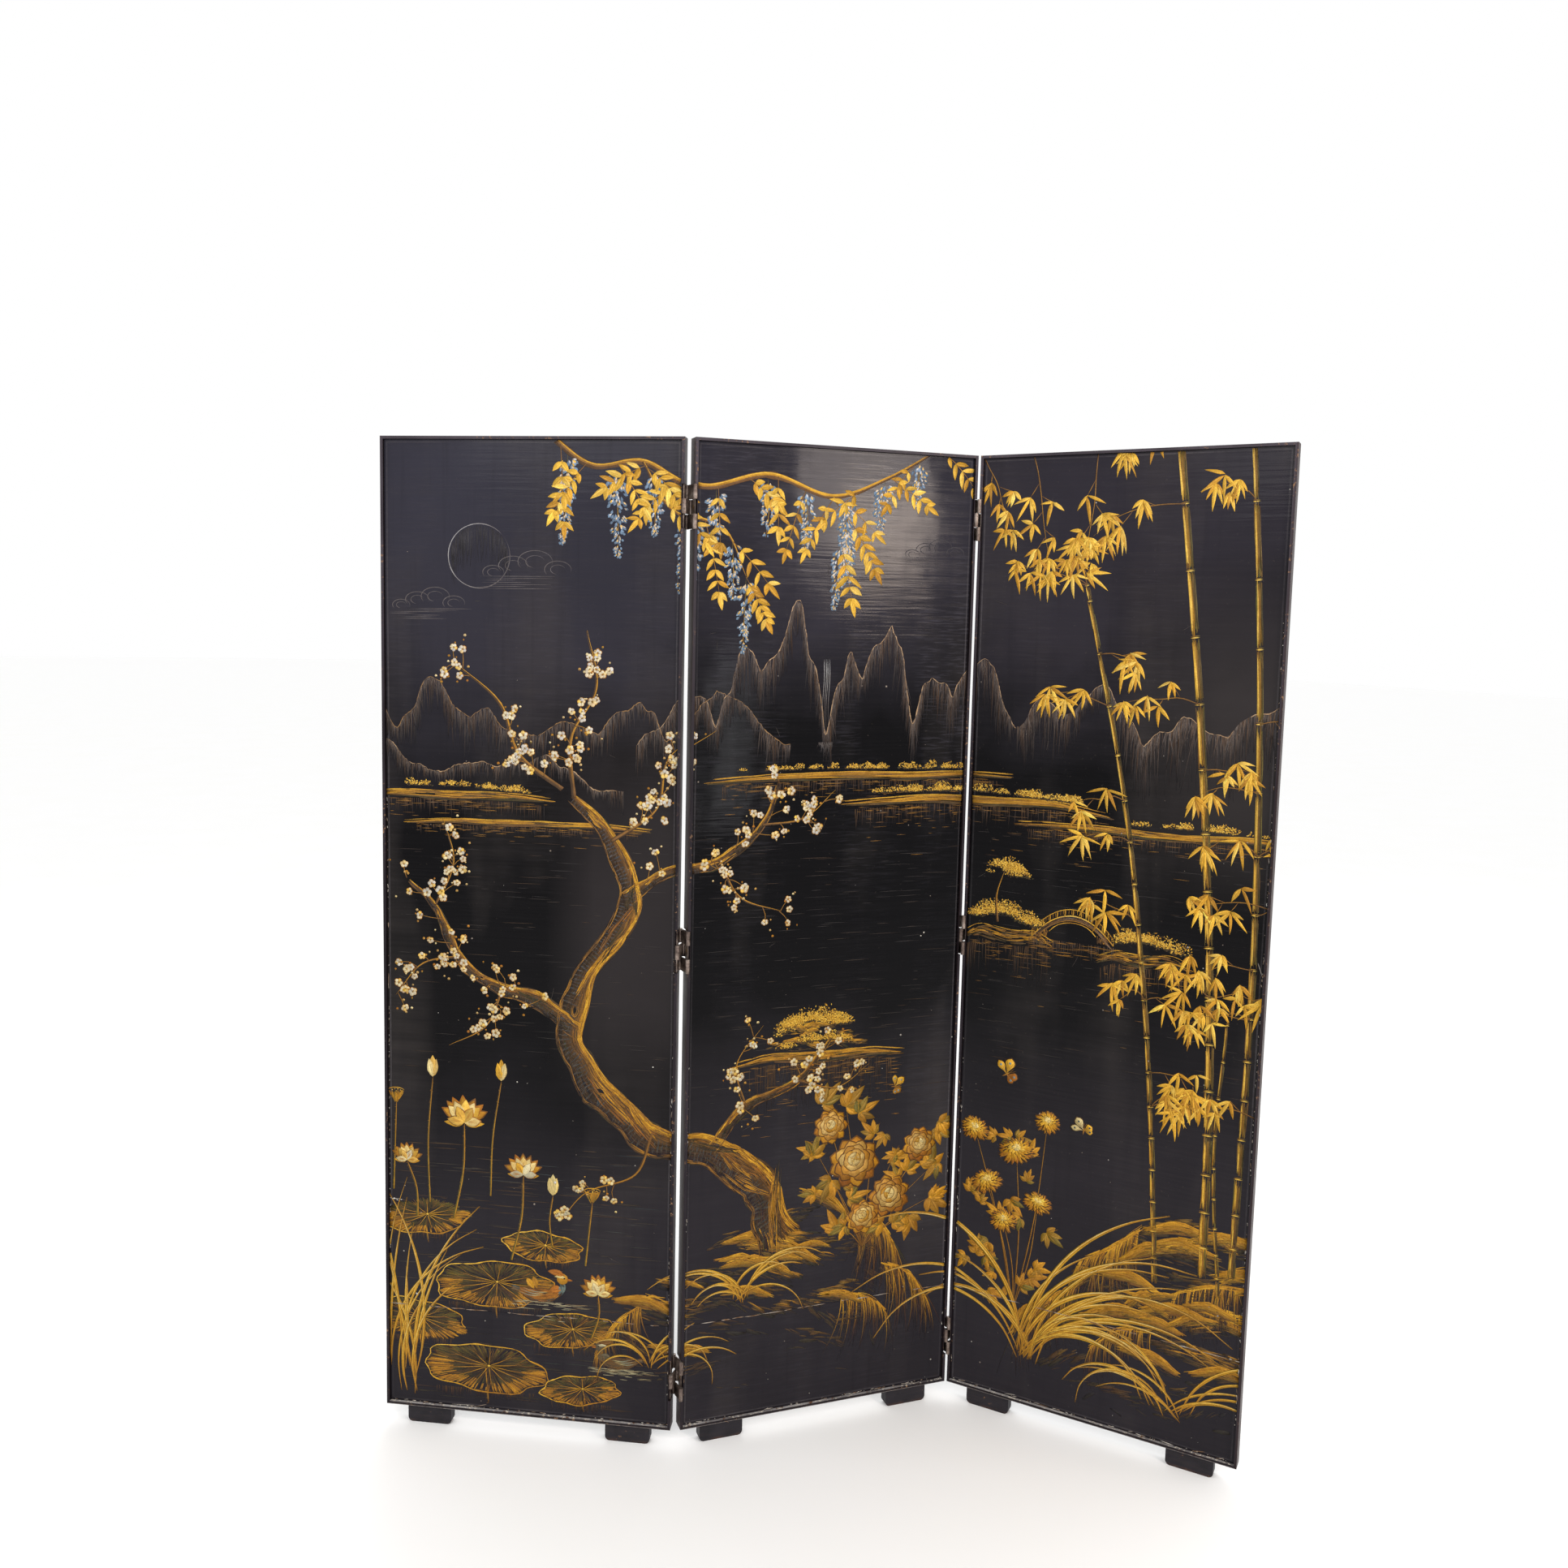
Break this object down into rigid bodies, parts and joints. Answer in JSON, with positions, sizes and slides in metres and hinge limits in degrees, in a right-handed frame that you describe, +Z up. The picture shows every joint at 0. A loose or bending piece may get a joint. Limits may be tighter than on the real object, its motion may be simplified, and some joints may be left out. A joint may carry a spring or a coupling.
{
  "type": "folding screen",
  "caption": "Tall folding lacquer screen of black panels with thin raised edge strips, block feet and crossing-strap hinges, standing in a zigzag.",
  "frame": {"origin": "on the floor, in the middle of the footprint of the screen in its zigzag pose", "axes": "+Z up, +X to the right along the middle panel, painted faces to -Y"},
  "size_m": [1.4354, 0.677, 1.829],
  "materials": {
    "front_lacquer": "black lacquer with gold and brown painting, satin, fine scratches",
    "back_lacquer": "plain black lacquer, satin",
    "edge_lacquer": "black lacquer, worn at the arrises",
    "foot_wood": "black stain worn brown at the lower edges",
    "core_wood": "raw softwood",
    "hinge_brass": "aged and dulled",
    "pin_steel": "dull",
    "screw_brass": "worn",
    "screw_steel": "dull zinc"
  },
  "bodies": {
    "left_panel": {"left_panel_left_stile": "core_wood", "left_panel_right_stile": "core_wood", "left_panel_top_rail": "core_wood", "left_panel_bottom_rail": "core_wood", "left_panel_cross_rails": "core_wood", "left_panel_front_board": "front_lacquer", "left_panel_back_board": "back_lacquer", "left_panel_left_edge_strip": "edge_lacquer", "left_panel_right_edge_strip": "edge_lacquer", "left_panel_top_edge_strip": "edge_lacquer", "left_panel_bottom_edge_strip": "edge_lacquer", "left_panel_left_foot": "foot_wood", "left_panel_right_foot": "foot_wood", "left_panel_foot_screws": "screw_steel", "left_panel_hinge_leaves": "hinge_brass", "left_panel_hinge_pins": "pin_steel", "left_panel_hinge_screws": "screw_brass"},
    "centre_panel": {"centre_panel_left_stile": "core_wood", "centre_panel_right_stile": "core_wood", "centre_panel_top_rail": "core_wood", "centre_panel_bottom_rail": "core_wood", "centre_panel_cross_rails": "core_wood", "centre_panel_front_board": "front_lacquer", "centre_panel_back_board": "back_lacquer", "centre_panel_left_edge_strip": "edge_lacquer", "centre_panel_right_edge_strip": "edge_lacquer", "centre_panel_top_edge_strip": "edge_lacquer", "centre_panel_bottom_edge_strip": "edge_lacquer", "centre_panel_left_foot": "foot_wood", "centre_panel_right_foot": "foot_wood", "centre_panel_foot_screws": "screw_steel", "centre_left_hinge_leaves": "hinge_brass", "centre_right_hinge_leaves": "hinge_brass", "centre_panel_hinge_pins": "pin_steel", "centre_panel_hinge_screws": "screw_brass"},
    "right_panel": {"right_panel_left_stile": "core_wood", "right_panel_right_stile": "core_wood", "right_panel_top_rail": "core_wood", "right_panel_bottom_rail": "core_wood", "right_panel_cross_rails": "core_wood", "right_panel_front_board": "front_lacquer", "right_panel_back_board": "back_lacquer", "right_panel_left_edge_strip": "edge_lacquer", "right_panel_right_edge_strip": "edge_lacquer", "right_panel_top_edge_strip": "edge_lacquer", "right_panel_bottom_edge_strip": "edge_lacquer", "right_panel_left_foot": "foot_wood", "right_panel_right_foot": "foot_wood", "right_panel_foot_screws": "screw_steel", "right_panel_hinge_leaves": "hinge_brass", "right_panel_hinge_pins": "pin_steel", "right_panel_hinge_screws": "screw_brass"},
    "left_middle_links": {"left_middle_straps": "hinge_brass"},
    "left_outer_links": {"left_outer_straps": "hinge_brass", "left_outer_strap_pins": "pin_steel"},
    "right_middle_links": {"right_middle_straps": "hinge_brass"},
    "right_outer_links": {"right_outer_straps": "hinge_brass", "right_outer_strap_pins": "pin_steel"}
  },
  "joints": [
    {"name": "left_fold", "type": "hinge", "parent": "centre_panel", "child": "left_middle_links", "pos_m": [-0.21323, 0.09426, 0.932], "axis": [0, 0, -1], "range_deg": [-24.36, 140.7]},
    {"name": "left_panel_on_strap", "type": "hinge", "parent": "left_middle_links", "child": "left_panel", "pos_m": [-0.23154, 0.07157, 0.932], "axis": [0, 0, -1], "range_deg": [-2.64, 12.9]},
    {"name": "left_outer_strap_swing", "type": "hinge", "parent": "centre_panel", "child": "left_outer_links", "pos_m": [-0.21323, 0.06726, 0.932], "axis": [0, 0, -1], "range_deg": [-2.64, 12.9]},
    {"name": "right_fold", "type": "hinge", "parent": "centre_panel", "child": "right_middle_links", "pos_m": [0.32977, 0.06726, 0.932], "axis": [0, 0, -1], "range_deg": [-45.01, 123.38]},
    {"name": "right_panel_on_strap", "type": "hinge", "parent": "right_middle_links", "child": "right_panel", "pos_m": [0.354, 0.08347, 0.932], "axis": [0, 0, -1], "range_deg": [-3.49, 8.72]},
    {"name": "right_outer_strap_swing", "type": "hinge", "parent": "centre_panel", "child": "right_outer_links", "pos_m": [0.32977, 0.09426, 0.932], "axis": [0, 0, -1], "range_deg": [-3.49, 8.72]}
  ],
  "couplings": [
    {"joint": "left_panel_on_strap", "follows": "left_fold", "ratio": 0.087897},
    {"joint": "left_outer_strap_swing", "follows": "left_fold", "ratio": 0.087897},
    {"joint": "right_panel_on_strap", "follows": "right_fold", "ratio": 0.066389},
    {"joint": "right_outer_strap_swing", "follows": "right_fold", "ratio": 0.066389}
  ]
}
